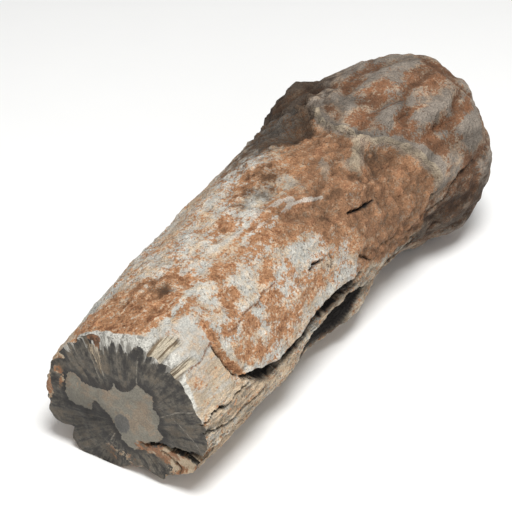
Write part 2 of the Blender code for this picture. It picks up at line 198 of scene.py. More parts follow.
# Cracks in the cut face: depth in mm and (y, z, width) points.
FACE_CRACKS = (
    (
        14,
        (
            (-8, -23.6, 0.8), (-14, -25, 1.6), (-18, -21, 1.6), (-26, -19.6, 1.8), (-33, -21, 3.0),
            (-38, -18, 4.6), (-44, -19, 6.4), (-57, -18, 7.5),
        ),
    ),
    (8, ((-23, -25.5, 0.8), (-29, -27, 1.8), (-33, -31, 2.0), (-39, -37, 1.8), (-46, -46, 1.2))),
)

# Lumps and hollows on the two ends: y, z, half sizes along y and z, and height in mm.
NEAR_MOUNDS = (
    (-34, -32, 20, 9, -3.6), (27, 43, 8, 8, -3.4), (54, 12, 8, 12, -2.4), (16, -46, 9, 8, -1.8),
    (30, -20, 16, 14, 0.8), (-38, 20, 16, 20, 0.9),
)
FAR_MOUNDS = (
    (6, 16, 30, 26, 4.5), (-34, -8, 18, 22, -5.0), (38, 36, 16, 14, -4.0), (28, -22, 20, 14, 3.0),
    (-26, 50, 14, 14, 2.5),
)

# Uneven weathering: wavelength and height in mm of the swells, and of the lumps that
# are drawn out along the grain.
SWELL = (46, 2.0)
LUMP = (20, 1.3)
GRAIN = (15, 1.1)
GRAIN_STRETCH = 4.0
END_WEATHERING = (11, 1.3)

# How steep and how long the ledges, lines and the top rim are, in mm or as a share, and how
# far the two ends bulge in mm.
LEDGE_SLOPE = 2.6
LINE_END_FADE = 0.12
RIM_RISE = 2.6
RIM_SLOPE = 4.0
RIM_REACH = 60.0
NEAR_DOME = 0.4
FAR_DOME = 2.0

# How far the hollow leans in degrees, from which width in mm a crack keeps to its line, and
# where the walls of cracks get gentler: past the slab's end, and on the back.
HOLLOW_LEAN = 14
NARROW_CRACK = 2.5
SLAB_END = 205.0
BACK_EDGE = -60.0

# Where the kinds of surface meet. Each border gives the angle at an x, or the x at an
# angle, and runs straight between its points.
STRATA_EDGE = (
    (0, 74), (44, 74), (60, 80), (84, 88), (103, 86), (128, 84), (183, 85), (215, 90), (260, 104),
    (300, 100), (340, 84), (392, 74),
)
FAR_EDGE = (
    (-180, 280), (-60, 276), (-32, 280), (-20, 277), (-6, 265), (12, 262), (21, 261), (28, 268),
    (32, 278), (40, 285), (50, 290), (60, 297), (72, 302), (86, 292), (120, 286), (180, 280),
)
BAND_EDGE = (
    (-180, 230), (-20, 228), (8, 206), (20, 150), (30, 140), (40, 158), (55, 176), (75, 192), (95, 206),
    (130, 220), (180, 230),
)

# The pale plate's end in mm and the angle it starts at, how far round the layered stone goes,
# the angle that the camera sees best, and how far it sees from there on both sides.
PLATE_END = 38.0
PLATE_START = 20.0
STRATA_END = 150.0
SEEN_ANGLE = 36.0
SEEN_REACH = 96.0

# The fluted rim by the cut end: its middle angle, half width in degrees and length in mm.
FLUTED_RIM = (8.0, 62.0, 13.0)

# Rust on the stone: x, angle, half length and half width in mm, and how much it adds to
# the share of the surface that is rusty. A negative patch is pale.
RUST_PATCHES = (
    (12, -28, 16, 16, 0.75), (26, -14, 22, 13, 0.7), (16, 0, 20, 9, 0.75), (42, 1, 20, 10, 0.65),
    (54, 4, 13, 9, 0.5), (34, -52, 20, 7, -0.6), (30, -36, 9, 4, -0.3), (46, 16, 16, 5, -0.5),
    (16, 17, 12, 4, -0.5), (15, 9, 8, 4, 0.4), (14, 58, 11, 6, 0.22), (46, 5, 16, 9, 0.5),
    (34, 12, 12, 4, 0.4), (36, 22, 10, 3, 0.3), (76, 21, 9, 6, 0.4), (69, 33, 8, 6, 0.9),
    (50, 32, 7, 5, 0.2), (60, 44, 7, 5, 0.35), (49, 48, 5, 4, 0.6), (64, 57, 10, 5, 0.4),
    (73, 56, 6, 4, 0.45), (46, 61, 6, 5, 0.3), (58, 67, 12, 5, 0.4), (97, 54, 11, 7, 0.5),
    (106, 40, 9, 5, 0.45), (98, 20, 14, 4, 0.5), (83, 14, 12, 4, 0.45), (94, 70, 16, 8, 0.4),
    (72, 71, 12, 5, 0.4), (136, 68, 20, 10, 0.35), (129, 48, 7, 4, 0.4), (131, 26, 15, 6, 0.7),
    (146, 34, 11, 5, 0.5), (152, 25, 11, 4, 0.6), (139, 13, 11, 4, 0.6), (162, 15, 12, 3, 0.6),
    (172, 32, 16, 8, 0.5), (174, 43, 13, 8, 0.4), (199, 82, 10, 5, 0.5), (43, 20, 9, 4, 0.4),
    (124, -3, 14, 6, 0.45), (119, 12, 9, 3, 0.4), (217, 18, 7, 5, -0.7), (188, 14, 7, 5, -0.7),
    (193, 2, 8, 5, -0.4), (164, 3, 12, 5, -0.4), (63, 18, 12, 5, -0.3), (86, 37, 13, 8, -0.4),
    (56, 30, 9, 6, -0.25), (82, 52, 7, 3, -0.4), (143, 46, 13, 5, -0.35), (150, 78, 20, 5, -0.3),
    (361, 20, 26, 12, 0.8), (319, 6, 13, 7, 0.75), (316, -11, 10, 4, 0.5), (284, 11, 13, 5, 0.8),
    (297, 31, 14, 3, 0.9), (318, 31, 10, 3, 0.7), (340, 48, 10, 3, 0.7), (362, 47, 11, 5, 0.8),
    (311, 50, 9, 6, 0.7), (314, 61, 8, 5, 0.6), (342, 74, 16, 4, 0.6), (343, 92, 12, 6, 0.5),
    (309, 71, 8, 4, 0.4), (276, -13, 8, 6, 0.4), (322, 102, 12, 5, 0.4), (373, -1, 13, 12, -0.4),
    (306, 20, 14, 6, -0.5), (347, 62, 14, 9, -0.6), (291, -3, 12, 9, -0.6), (332, 38, 18, 7, -0.5),
    (205, 0, 24, 10, 0.4), (172, -12, 24, 8, 0.35), (247, 29, 14, 5, -0.9), (262, 22, 8, 6, -0.7),
    (300, 59, 5, 3, -0.6), (288, 46, 4, 6, -0.5),
)

# Stone that is darker and browner than the rest, in the same terms.
BROWN_PATCHES = (
    (222, -36, 40, 20, 0.6), (250, -24, 24, 18, 1.5), (296, -52, 46, 30, 1.6), (176, -5, 30, 11, 0.5),
    (28, -12, 34, 24, 0.25), (50, 0, 12, 9, 0.5), (140, 4, 40, 14, 0.2), (252, -19.5, 10, 8, 0.6),
    (262, 43, 15, 14, 0.25), (262, 37, 8, 5, 0.35), (52, 3, 8, 6, 0.25), (320, 108, 70, 22, 0.75),
    (344, 84, 40, 16, 0.26), (240, 60, 46, 40, 0.12), (352, 30, 40, 60, 0.14), (222, -130, 60, 40, 0.4),
    (90, 170, 60, 40, 0.35), (196, 36, 36, 12, 0.3),
)

# Thin lines of rust in the side, as (x, angle) points.
RUST_LINES = (
    RUST_SEAM,
    ((33.4, 45.5), (24.6, 47.5), (18.7, 48.5), (9, 48.5), (0, 49.5)),
    ((262, 12), (279, 13), (296, 15), (316, 21)),
    ((297, 47.5), (310, 46), (326, 47), (342, 47.5)),
)

# The smooth tan middle of the cut face, as (y, z) in mm, going round.
TAN_OUTLINE = (
    (44, 11), (40, 10.5), (35, 7), (28, 6.5), (21, 7), (15, 8), (11.5, 10), (9.5, 15.5), (7, 13),
    (3, 12.5), (-2, 14), (-5.7, 17.5), (-9, 22), (-12, 21), (-16, 19), (-20, 18), (-21, 14), (-20, 8),
    (-24.5, 4.5), (-25, -0.5), (-23, -7.5), (-27.5, -12), (-24.5, -16.5), (-18.5, -20.5), (-15.5, -24),
    (-9, -28.5), (-4, -32.5), (1, -31.5), (6.5, -28), (5.5, -25), (10, -19), (13.5, -13), (17.5, -8.5),
    (22, -4.5), (25, -4), (27.3, -6.5), (27, -12), (31, -14), (35, -12.5), (41, -13), (47, -13),
    (48.7, -7), (49, 0), (47.5, 7),
)
PITH = ((4.3, -14.4), 6.4, 8.6, 12.0)

# The pale stone along the top of the cut face, as (y, z) in mm. Its first points follow
# the top edge of the dark stone, where pale flutes reach down, and the last are outside.
PALE_TOP = (
    (50, 24), (42, 33), (37, 41.5), (32.5, 42.5), (29, 37.5), (25, 32.5), (20, 38), (15, 43), (11, 44),
    (7.5, 43), (3, 46.5), (0, 42), (-3.5, 49), (-8, 51), (-12.5, 50.5), (-15.5, 44.5), (-18.5, 44.5),
    (-25, 48), (-30.5, 48), (-34.5, 44.5), (-40, 38.5), (-49, 31.5), (-57, 25), (-60, 10), (-90, 10),
    (-90, 90), (90, 90), (90, 24),
)

# Darker places on the cut face: y, z, half sizes and strength.
FACE_DIM = ((32, -22, 24, 22, 1.0), (52, -10, 9, 20, 0.2), (10, -46, 16, 10, 0.5), (-38, 2, 18, 20, 0.35))

# Lighter lines across the cut face, as (y, z) in mm.
FACE_VEINS = (
    ((-25.5, 3.5), (-38, 13), (-58, 22)),
    ((-9, 22), (-9, 34), (-11, 46)),
    ((-34, 8), (-46, 0), (-55, -12)),
    ((10, -24), (14, -33), (9, -38), (3, -36)),
    ((22, 35), (18, 26), (16, 19)),
    ((30, 38), (24, 26), (20, 15)),
)

# Broken, stained places on the cut face: y, z, half sizes and strength.
FACE_STAINS = (
    (-30, -27, 20, 6, 1.0), (-40, -33, 14, 8, 0.9), (-10, -27, 7, 4, 0.5), (51.5, 19.5, 3.5, 3, 1.0),
    (55, 7.5, 3.5, 3, 1.0), (52, 0, 3, 7, 0.55), (62, -8, 3, 13, 0.8), (14, -42, 6, 9, 0.45),
    (38, 2, 9, 6, 0.25), (2, -41, 7, 4, 0.5), (-10, -47, 12, 5, 0.35),
)

# The rusty wedge at the top left of the cut face and the paler strip that runs down from
# it, as (y, z) in mm.
WEDGE = ((33.5, 49), (19, 55), (18.5, 45), (19.5, 39), (23.5, 38), (29, 41.5))
WEDGE_STRIP = ((34, 44), (28, 40.5), (21, 40), (17.5, 33), (16.8, 24), (18.6, 20), (22.5, 26), (27, 32.5))

# Lights: name, place in m, size in m, power in W, and colour. They all point at the target.
LIGHTS = (
    ("key_softbox", (-0.4, -0.42, 1.66), 0.7, 32.0, (1.0, 1.0, 0.995)),
    ("front_fill", (-1.1, -1.6, 0.9), 1.2, 6.0, (1.0, 1.0, 1.0)),
)
LIGHT_TARGET = (0.0, 0.0, 0.06)
SKY_STRENGTH = 0.35

# The seed and count of the scattered patches of rust on the hidden sides.
BACK_SEED = 11
BACK_PATCHES = 34


def srgb(red, green, blue):
    """A colour as the eye reads it, from 0 to 255, as the linear values that light needs."""
    shares = (channel / 255.0 for channel in (red, green, blue))
    return tuple(s / 12.92 if s <= 0.04045 else ((s + 0.055) / 1.055) ** 2.4 for s in shares) + (1.0,)


# Colours of the stone and the floor.
PALE = srgb(206, 203, 194)
CREAM = srgb(205, 187, 161)
PLATE_WHITE = srgb(190, 189, 183)
GREY = srgb(140, 135, 126)
UMBER = srgb(80, 60, 43)
LIGHT_RUST = srgb(204, 172, 138)
RUST = srgb(184, 136, 98)
DEEP_RUST = srgb(138, 92, 62)
# Near black painted shade for the insides of the cracks and the hollow, and under the slab.
PAINTED_CRACK_SHADE = srgb(30, 26, 23)
STRATA_GREY = srgb(114, 109, 99)
FLUTE_GREY = srgb(134, 130, 122)
NOTCH_LIGHT = srgb(202, 190, 168)
NOTCH_DARK = srgb(116, 100, 80)
BAND_BROWN = srgb(139, 104, 79)
# Rust on the far end: darker in its own colour, and with painted shade for the weaker light there.
FAR_RUST_AND_SHADE = srgb(143, 102, 74)
VEIN_BEIGE = srgb(176, 161, 138)
TAN = srgb(131, 126, 114)
TAN_WARM = srgb(142, 127, 109)
PITH_GREY = srgb(98, 97, 94)
FACE_DARK = srgb(58, 55, 52)
FACE_EDGE = srgb(50, 47, 45)
FACE_MIDDLE = srgb(108, 102, 92)
FACE_BROWN = srgb(106, 93, 77)
FACE_VEIN = srgb(160, 152, 138)
STAIN_PALE = srgb(190, 172, 146)
STAIN_RUST = srgb(146, 104, 74)
WEDGE_BROWN = srgb(96, 68, 48)
FLOOR = srgb(244, 244, 243)

# How rough the noise is, and the part of it that is spread over the range from 0 to 1.
NOISE_ROUGHNESS = 0.62
CLEAR_RANGE = (0.33, 0.67)

# How close the streaks of the cut face are, round its pith and outward, and its lobes' size.
STREAKS_ROUND = (45.0, 45.0, 45.0)
STREAKS_OUT = (0.16, 0.16, 0.16)
LOBE_SIZE = 19.0

# The stone's shine, the angle in degrees that counts as an edge, and the floor in m.
SHINE = 0.3
SHARP_ANGLE = 52
FLOOR_SIZE = 12.0
FLOOR_DROP = 0.0003


def spread(start, end, count, peaks):
    """Places from start to end, closer together near each peak."""
    fine = np.linspace(start, end, 4001)
    density = np.ones_like(fine)
    for place, reach, extra in peaks:
        density += extra * bell((fine - place) / reach)
    total = np.concatenate([[0.0], np.cumsum((density[1:] + density[:-1]) / 2)])
    return np.interp(np.linspace(0.0, total[-1], count), total, fine)


def limited(value):
    """The value kept from 0 to 1."""
    return np.clip(value, 0.0, 1.0)


def ease(value):
    """0 below 0, 1 above 1, and smooth between them."""
    value = limited(value)
    return value * value * (3.0 - 2.0 * value)


def bell(value, power=2):
    """1 at 0, and falling to 0 on both sides: 2 is soft, and 4 and more are flat on top."""
    return np.exp(-(value**power))


def section_at(x):
    """Centre y, centre z and the twelve radii at each x, on a smooth curve."""
    places = np.array([section[0] for section in SECTIONS], float)
    table = np.array([(y, z, *radii) for _, y, z, radii in SECTIONS], float)
    slopes = np.gradient(table, places, axis=0)
    x = np.clip(x, places[0], places[-1])
    index = np.clip(np.searchsorted(places, x, side="right") - 1, 0, len(places) - 2)
    gap = (places[index + 1] - places[index])[..., None]
    t = (x - places[index])[..., None] / gap
    start = (2 * t**3 - 3 * t**2 + 1) * table[index] + (t**3 - 2 * t**2 + t) * gap * slopes[index]
    end = (3 * t**2 - 2 * t**3) * table[index + 1] + (t**3 - t**2) * gap * slopes[index + 1]
    return start + end


def radius_at(radii, angle):
    """The radius at an angle, on a closed smooth curve through the twelve radii."""
    steps = np.asarray(angle, float) % 360.0 / 30.0
    first = np.floor(steps).astype(int) % 12
    t = steps - np.floor(steps)

    def pick(offset):
        place = np.expand_dims((first + offset) % 12, -1)
        return np.take_along_axis(radii, place, -1)[..., 0]

    before, here, after, later = pick(-1), pick(0), pick(1), pick(2)
    return here + 0.5 * t * (
        after - before
        + t * (2 * before - 5 * here + 4 * after - later + t * (3 * (here - after) + later - before))
    )


def turn(angle, from_angle):
    """The angle between two directions round the log, from -180 to 180."""
    return (np.asarray(angle) - from_angle + 180.0) % 360.0 - 180.0


def path_distance(px, py, line):
    """Distance to a line of points, its sign, positive on the left of the line with x
    drawn to the right and the angle up, and the share of its length at the nearest point."""
    lengths = [math.dist(a, b) for a, b in zip(line, line[1:])]
    nearest = np.full(np.shape(px), np.inf)
    sign = np.ones(np.shape(px))
    share = np.zeros(np.shape(px))
    run = 0.0
    for (ax, ay), (bx, by), length in zip(line, line[1:], lengths):
        ux, uy = (bx - ax) / length, (by - ay) / length
        t = np.clip((px - ax) * ux + (py - ay) * uy, 0.0, length)
        dx, dy = px - ax - t * ux, py - ay - t * uy
        distance = np.hypot(dx, dy)
        closer = distance < nearest
        nearest = np.where(closer, distance, nearest)
        sign = np.where(closer, np.where(ux * dy - uy * dx >= 0, 1.0, -1.0), sign)
        share = np.where(closer, (run + t) / sum(lengths), share)
        run += length
    return nearest, sign, share


def line_distance(x, angle, line):
    """The same for a line on the log's side, in mm along the surface."""
    centre = line[len(line) // 2][1]
    flat = [(px, (pa - centre) * MM_PER_DEGREE) for px, pa in line]
    return path_distance(x, turn(angle, centre) * MM_PER_DEGREE, flat)


def ends_fade(share):
    return ease(share / LINE_END_FADE) * ease((1.0 - share) / LINE_END_FADE)


def on_line(x, angle, line, offset, reach, power=2):
    """1 along a line, or along one that far to its left in mm, and falling on both sides."""
    distance, sign, share = line_distance(x, angle, line)
    return bell((sign * distance - offset) / reach, power) * ends_fade(share)


def nearest_of(x, angle, lines):
    return np.min([line_distance(x, angle, line)[0] for line in lines], axis=0)


def patch(x, angle, at_x, at_angle, half_length, half_width, amount, power=2.5):
    """A round place on the side, strongest in its middle."""
    along = (x - at_x) / half_length
    across = turn(angle, at_angle) * MM_PER_DEGREE / half_width
    return amount * bell(np.hypot(along, across), power)


def patches(x, angle, listed):
    """All the listed places together."""
    return sum(patch(x, angle, *place) for place in listed)


def sampled(points, size, seed, stretch, measure):
    """A measure taken in the stone at points in mm, drawn out along x by stretch."""
    scaled = points / np.array([size * stretch, size, size]) + seed
    return np.array([measure(Vector(p)) for p in scaled.reshape(-1, 3)]).reshape(points.shape[:-1])


def noise_over(points, size, seed=0.0, stretch=1.0):
    """Smooth noise from about -1 to 1."""
    return sampled(points, size, seed, stretch, noise.noise)


def pits_over(points, size, seed=0.0):
    """Distance from 0 to about 1 to the nearest of many scattered points in the stone."""
    return sampled(points, size, seed, 1.0, lambda place: noise.voronoi(place)[0][0])


def border_gap(place):
    """From 0 on the borders between lumps in the stone to about 1 inside them."""
    first, second = noise.voronoi(place)[0][:2]
    return second - first


def blocks_over(points, size, seed=0.0, stretch=1.0):
    """The same at points in mm, with borders that wander by 3 mm."""
    bend = [noise_over(points, 10.0, seed + place) for place in (0.3, 5.2, 9.1)]
    return sampled(points + 3.0 * np.stack(bend, -1), size, seed, stretch, border_gap)


def ledge_lift(x, angle):
    lift = 0.0
    for height, reach, line in LEDGES:
        distance, sign, share = line_distance(x, angle, line)
        step = ease(sign * distance / LEDGE_SLOPE + 0.5) - 0.5
        lift += height * step * np.exp(-distance / reach) * ends_fade(share)
    return lift


def ridge_lift(x, angle):
    return sum(height * on_line(x, angle, line, 0.0, reach) for height, reach, line in RIDGES)


def rim_lift(x, angle):
    """The bark side rises quickly behind the top of the cut face, as a chamfer."""
    top = bell(turn(angle, 5) / 50.0, 4)
    return RIM_RISE * top * (1.0 - np.exp(-x / RIM_SLOPE)) * np.exp(-x / RIM_REACH)


def weathering(points):
    """Swells and lumps in mm."""
    lift = SWELL[1] * noise_over(points, SWELL[0])
    lift += LUMP[1] * noise_over(points, LUMP[0], np.array([7.3, 1.9, 4.1]))
    return lift + GRAIN[1] * noise_over(points, GRAIN[0], np.array([2.2, 8.8, 5.5]), GRAIN_STRETCH)


def wander(x, angle, points):
    """The same places moved by a few mm, so that borders and patches have natural outlines."""
    def shift(broad_seed, fine_seed):
        return 7.0 * noise_over(points, 17.0, broad_seed) + 3.0 * noise_over(points, 6.0, fine_seed)

    return x + shift(21.3, 23.9), angle + shift(25.1, 27.7) / MM_PER_DEGREE


def side_kinds(x, angle, wandered):
    """How much of each kind of surface there is at each point, from 0 to 1."""
    around = turn(angle, 0)
    far_x, far_angle = wandered
    strata_at = np.interp(x, *zip(*STRATA_EDGE))
    far_at = np.interp(turn(far_angle, 0), *zip(*FAR_EDGE))
    band_at = np.interp(turn(far_angle, 0), *zip(*BAND_EDGE))
    low_side = ease((around - strata_at) / 5.0 + 0.3)
    low_side *= 1.0 - ease((around - STRATA_END) / 40.0)
    far = ease((far_x - far_at) / 9.0 + 0.5)
    band = ease((far_x - band_at) / 44.0 + 0.4) * (1.0 - far)
    band *= ease((around + 40.0) / 40.0)
    back = ease((np.abs(turn(angle, SEEN_ANGLE)) - SEEN_REACH) / 24.0)
    plate = ease((PLATE_END - x) / 5.0) * ease((around - PLATE_START) / 10.0) * (1.0 - low_side)
    middle, half_width, length = FLUTED_RIM
    flutes = bell(x / length) * bell(turn(angle, middle) / half_width, 4)
    return SimpleNamespace(
        strata=low_side * (1.0 - 0.7 * far),
        far=far,
        band=band * (1.0 - low_side),
        back=back,
        plate=plate * (1.0 - back),
        flutes=flutes,
        crumbly=patch(x, angle, *CRUMBLY),
    )


def fine_lift(points, kinds):
    """The small relief of each kind of surface, in mm."""
    fibres = 1.0 - 2.0 * np.abs(noise_over(points, 4.2, 3.1, 12.0))
    layers = noise_over(points, 8.5, 9.4, 7.0)
    breaks = noise_over(points, 4.0, 15.7)
    lumps = np.abs(noise_over(points, 13.0, 4.7)) + 0.6 * np.abs(noise_over(points, 6.0, 1.3)) - 0.35
    pits = ease((0.42 - pits_over(points, 6.5, 2.9)) / 0.3)
    flakes = noise_over(points, 5.2, 6.6, 1.8)
    grit = noise_over(points, 2.5, 8.1)
    folds = noise_over(points, 14.0, 5.9, 3.4)
    flutes = 0.6 * noise_over(points, 4.4, 17.2, 6.0) + noise_over(points, 9.0, 18.8, 4.0)
    rough = limited(kinds.band + 0.6 * kinds.back + kinds.crumbly)
    strata = limited(kinds.strata + 0.45 * kinds.back + 0.2 * kinds.plate)
    plates = ease(kinds.blocks / 0.32) - 0.6
    crevices = ease((0.07 - kinds.blocks) / 0.07)
    plain = (1.0 - 0.8 * kinds.plate) * (1.0 - kinds.flutes) * (1.0 - kinds.notch)
    lift = strata * (1.2 * fibres + 1.7 * layers + 0.7 * breaks)
    lift += rough * (3.2 * lumps - 0.9 * pits + 0.8 * plates - 0.8 * crevices)
    lift += kinds.crumbly * (1.1 * kinds.shards + 1.2 * flakes + 0.7 * grit)
    plain *= 1.0 - kinds.far
    lift += plain * (0.75 * flakes + 0.5 * grit)
    lift += (1.0 - rough) * plain * (1.1 * lumps - 0.5 * pits)
    lift += kinds.flutes * 1.5 * flutes + kinds.notch * 0.8 * fibres
    return lift + kinds.far * (1.2 * folds + 0.9 * lumps + 0.5 * flakes + 0.2 * grit + 2.4 * plates)


def rim_chips(x, points):
    """Small chips out of the cut face's rim, in mm."""
    bites = ease((noise_over(points, 9.0, 12.5) - 0.05) / 0.35)
    return -2.2 * bites * bell(x / 4.0)


def inside_outline(x, angle, outline):
    """Distance in mm to a closed outline of (x, angle) points, positive inside it."""
    flat = [(px, pa * MM_PER_DEGREE) for px, pa in outline]
    return inside_distance(x, turn(angle, 0) * MM_PER_DEGREE, flat)


def hollow_depth(x, angle, bent):
    """How deep the hollow is in mm, and how much painted shade its lower edge gets, from 0 to 1."""
    depth, slope, outline = HOLLOW
    inside = inside_outline(0.5 * (x + bent[0]), 0.5 * (angle + bent[1]), outline)
    lower = ease((turn(angle, 0) - 106.0) / 8.0)
    slope = slope * (1.0 + 1.2 * lower)
    deep = depth * ease(inside / slope) + 1.5 * np.clip(inside - slope, 0.0, 6.0) / 6.0
    # Painted shade on the hollow's lower lip, fading out towards the slab's end.
    dark = 0.9 * ease((inside + 3.5) / 6.0) * lower * ease((198.0 - x) / 14.0)
    return deep, dark


def crack_depth(x, angle, bent, wobble):
    """How deep the hollow and cracks are at each point and how far they lean, in mm and radians,
    and how much painted shade the stone gets at the hollow's lower edge and below the slab gap, from 0 to
    1."""
    deepest, dark = hollow_depth(x, angle, bent)
    gap, side, share = line_distance(x, angle, SLAB_GAP)
    # Painted shade on the stone just below the gap under the slab.
    under_slab = 0.8 * ease((7.0 - gap) / 3.4) * (side > 0.0) * ends_fade(share)
    weight = deepest**2
    leaning = HOLLOW_LEAN * weight
    for width, depth, lean, line in CRACKS:
        at = bent if width < NARROW_CRACK else (x, angle)
        distance, side, share = line_distance(*at, line)
        taper = 0.3 + 0.7 * np.sin(math.pi * limited(share)) ** 0.6
        half = width * taper
        gentle = (side > 0.0) & (x > SLAB_END) | (turn(angle, 0) < BACK_EDGE)
        wall = np.where(gentle, 0.45, 0.27) * half
        edge = distance + wobble * min(1.0, width / 5.0)
        deep = depth * taper * ease((0.56 * half - edge) / wall)
        leaning += lean * deep**2
        weight += deep**2
        deepest = np.maximum(deep, deepest)
    return deepest, np.radians(leaning / np.maximum(weight, 0.01)), np.maximum(dark, under_slab)


def notch_share(x, angle):
    """How far each point is into the notches, from 0 to 1, and the depth cut away in mm."""
    share, depth = np.zeros(np.shape(x)), np.zeros(np.shape(x))
    for deep, outline in NOTCHES:
        here = ease(inside_outline(x, angle, outline) / 1.8 + 0.5)
        share, depth = np.maximum(share, here), np.maximum(depth, here * deep)
    return share, depth


def follow_gap(x, angle):
    """Columns shifted so that they run along the gap under the slab and don't cross it."""
    gap = np.maximum(np.interp(x, *zip(*SLAB_GAP)), 80.0)
    near = bell(turn(angle, GAP_COLUMN) / 26.0, 4)
    return angle + (gap - GAP_COLUMN) * near


def side_surface(rows, columns):
    """The log's side: points in mm, and what its colours depend on."""
    x, angle = np.meshgrid(rows, columns, indexing="ij")
    angle = follow_gap(x, angle)
    table = section_at(x)
    radius = radius_at(table[..., 2:], angle)
    radius += ridge_lift(x, angle) + rim_lift(x, angle)
    radians = np.radians(angle)
    outward = np.stack([np.zeros_like(x), -np.sin(radians), np.cos(radians)], -1)
    upward = np.stack([np.zeros_like(x), np.cos(radians), np.sin(radians)], -1)
    centre = np.stack([x, table[..., 0], table[..., 1]], -1)
    base = centre + radius[..., None] * outward
    wandered = wander(x, angle, base)
    along, across = wandered[0] - x, wandered[1] - angle
    radius += patches(x + 0.5 * along, angle + 0.5 * across, MOUNDS)
    radius += ledge_lift(x + 0.2 * along, angle + 0.2 * across)
    kinds = side_kinds(x, angle, wandered)
    kinds.notch, cut_away = notch_share(x, angle)
    near_blocks = blocks_over(base, 25.0, 4.4, 1.4)
    far_blocks = blocks_over(base, 27.0, 2.8, 2.3)
    kinds.shards = blocks_over(base, 12.0, 7.7, 1.3)
    kinds.blocks = np.where(kinds.far > 0.5, far_blocks, near_blocks)
    bent = (x + 0.35 * along, angle + 0.35 * across)
    deep, lean, dark = crack_depth(x, angle, bent, 0.9 * noise_over(base, 5.0, 14.2, 4.0))
    fine = fine_lift(base, kinds) * (1.0 - 0.85 * limited(deep / 3.0))
    radius += weathering(base) + fine + rim_chips(x, base) - cut_away
    into = upward * np.sin(lean)[..., None] - outward * np.cos(lean)[..., None]
    points = centre + radius[..., None] * outward + into * deep[..., None]
    marks = side_marks(x, angle, wandered, bent, kinds, fine, deep)
    # The painted shade of the hollow's lip and of the stone under the slab goes into the crack mark.
    marks["crack"] = np.maximum(marks["crack"], dark)
    return points, marks


def back_patches():
    """Scattered patches of rust for the sides that the light misses."""
    chance = np.random.default_rng(BACK_SEED)
    listed = []
    for _ in range(BACK_PATCHES):
        place = (chance.uniform(10, 385), chance.uniform(128, 300))
        size = (chance.uniform(9, 26), chance.uniform(5, 13))
        listed.append((*place, *size, chance.uniform(-0.4, 0.75)))
    return listed


def side_marks(x, angle, wandered, bent, kinds, fine, deep):
    """Values from 0 to 1, or distances in mm, that the bark's colours are made from."""
    around = turn(angle, 0)
    rust = 0.32 - 0.2 * kinds.plate + 0.34 * kinds.band - 0.02 * kinds.far - 0.06 * kinds.strata
    rust += patches(*wandered, RUST_PATCHES) + patches(*wandered, back_patches())
    rust += kinds.far * (0.4 * ease((0.3 - kinds.blocks) / 0.3) - 0.16)
    rust -= 0.6 * on_line(*bent, FAR_RIM, 2.0, 4.5)
    front, sign, _ = line_distance(x, angle, SLAB_FRONT)
    riser = on_line(x, angle, SLAB_FRONT, -0.4, 1.8, 4)
    rust = rust * (1.0 - riser) + 0.8 * riser
    rust -= 0.45 * bell((sign * front - 4.2) / 2.4) * ease((angle - 44.0) / 8.0)
    stripe, stripe_sign, _ = line_distance(x, angle, STRIPES)
    rim_band = np.interp(around, *zip(*RIM_BAND))
    veined = np.maximum(on_line(*bent, FAR_RIM, 1.0, 2.5, 4), on_line(*bent, PALE_STRIP, 0.0, 5.0, 4))
    glassy = bell(x / rim_band, 3) * bell(turn(angle, 18) / 62.0, 6)
    cream = 0.2 + 0.9 * kinds.plate * ease((around - 48.0) / 3.0)
    cream -= 0.5 * kinds.plate * (1.0 - ease((around - 46.0) / 3.0))
    cream += 0.3 * kinds.strata + 0.4 * kinds.band + 0.2 * kinds.back
    grey = limited((x - 90.0) / 150.0) * 0.45 + 0.65 * kinds.far + 0.25 * kinds.plate
    return {
        "rust": np.clip(rust, -0.3, 0.68),
        "notch": kinds.notch,
        "far": kinds.far,
        "veined": veined,
        "band": limited(kinds.band + 0.4 * kinds.far),
        "stripe": np.clip(stripe_sign * stripe, -30.0, 30.0),
        "striped": ease((stripe_sign * stripe + 3.0) / 4.0) * bell(stripe / 11.0),
        "brown": limited(patches(*wandered, BROWN_PATCHES)),
        "seam": np.minimum(nearest_of(*bent, RUST_LINES), 20.0),
        "vein": np.minimum(nearest_of(x, angle, PALE_VEINS), 20.0),
        "glassy": glassy,
        "cream": limited(cream),
        "grey": limited(grey),
        "strata": limited(kinds.strata + 0.4 * kinds.back),
        "plate": kinds.plate,
        # Painted shade and light: low places in the fine relief are darkened and high ones lightened.
        "relief": limited(0.5 + 0.32 * fine),
        "around": around * MM_PER_DEGREE,
        # Painted shade: near black where a crack or the hollow is more than about 0.4 mm deep.
        "crack": limited((deep - 0.4) / 1.4),
    }


def inside_distance(y, z, outline):
    """Distance in mm to a closed outline, positive inside it."""
    closed = (*outline, outline[0])
    distance = path_distance(y, z, closed)[0]
    inside = np.zeros(np.shape(y), bool)
    for (ay, az), (by, bz) in zip(closed, closed[1:]):
        crosses = (az > z) != (bz > z)
        at = ay + (z - az) / np.where(bz == az, 1.0, bz - az) * (by - ay)
        inside ^= crosses & (y < at)
    return np.where(inside, distance, -distance)


def face_crack_depth(y, z, wobble, rim_gap):
    deepest = np.zeros(np.shape(y))
    for depth, line in FACE_CRACKS:
        path = [(py, pz) for py, pz, _ in line]
        distance, _, share = path_distance(y, z, path)
        run = [0.0, *np.cumsum([math.dist(a, b) for a, b in zip(path, path[1:])])]
        width = np.interp(share * run[-1], run, [w for _, _, w in line])
        edge = width * 0.575 - distance - 0.5 * wobble
        deep = depth * (0.3 + 0.7 * share) * ease(edge / (width * 0.3))
        deepest = np.maximum(deepest, deep)
    return deepest * ease(rim_gap / 3.0)


def spots(y, z, listed, power):
    """Round places on an end, each strongest in its middle."""
    places = (((y - ay) / half_y, (z - az) / half_z, amount) for ay, az, half_y, half_z, amount in listed)
    return sum(amount * bell(np.hypot(along, across), power) for along, across, amount in places)


